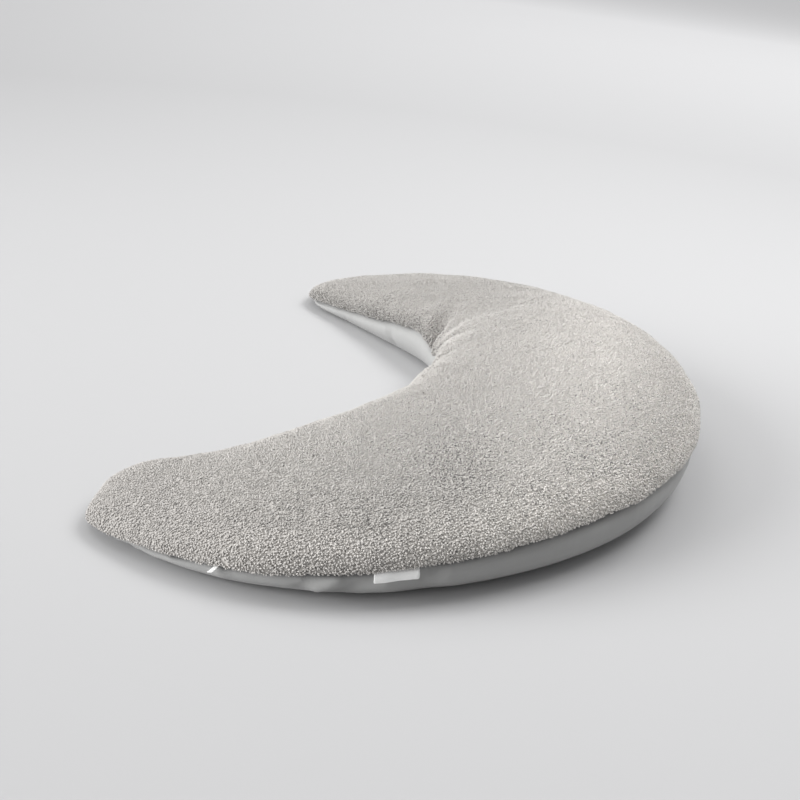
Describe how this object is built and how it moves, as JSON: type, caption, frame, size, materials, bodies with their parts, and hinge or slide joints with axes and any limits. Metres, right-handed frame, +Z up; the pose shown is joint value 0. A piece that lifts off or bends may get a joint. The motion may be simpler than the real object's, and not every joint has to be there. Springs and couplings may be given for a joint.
{
  "type": "crescent nursing pillow",
  "caption": "Filled crescent nursing pillow, with a curly plush top panel seamed to a smooth under panel, rounded horns and a flat underside that it rests on.",
  "frame": {"origin": "middle of the footprint, on the surface that the pillow rests on", "axes": "+X from horn to horn, +Y from the bay to the rounded back, +Z up"},
  "size_m": [0.7278, 0.4486, 0.1048],
  "materials": {
    "smooth_under_panel": "smooth mid-grey knitted cloth, matt with a soft sheen",
    "plush_pile": "light warm-grey plush with a short, dense, curly pile",
    "white_tape": "white woven tape, bare"
  },
  "bodies": {
    "root": {"pillow_body": "smooth_under_panel", "plush_top_panel": "plush_pile", "seam_label": "white_tape", "seam_tab": "white_tape"}
  },
  "joints": []
}
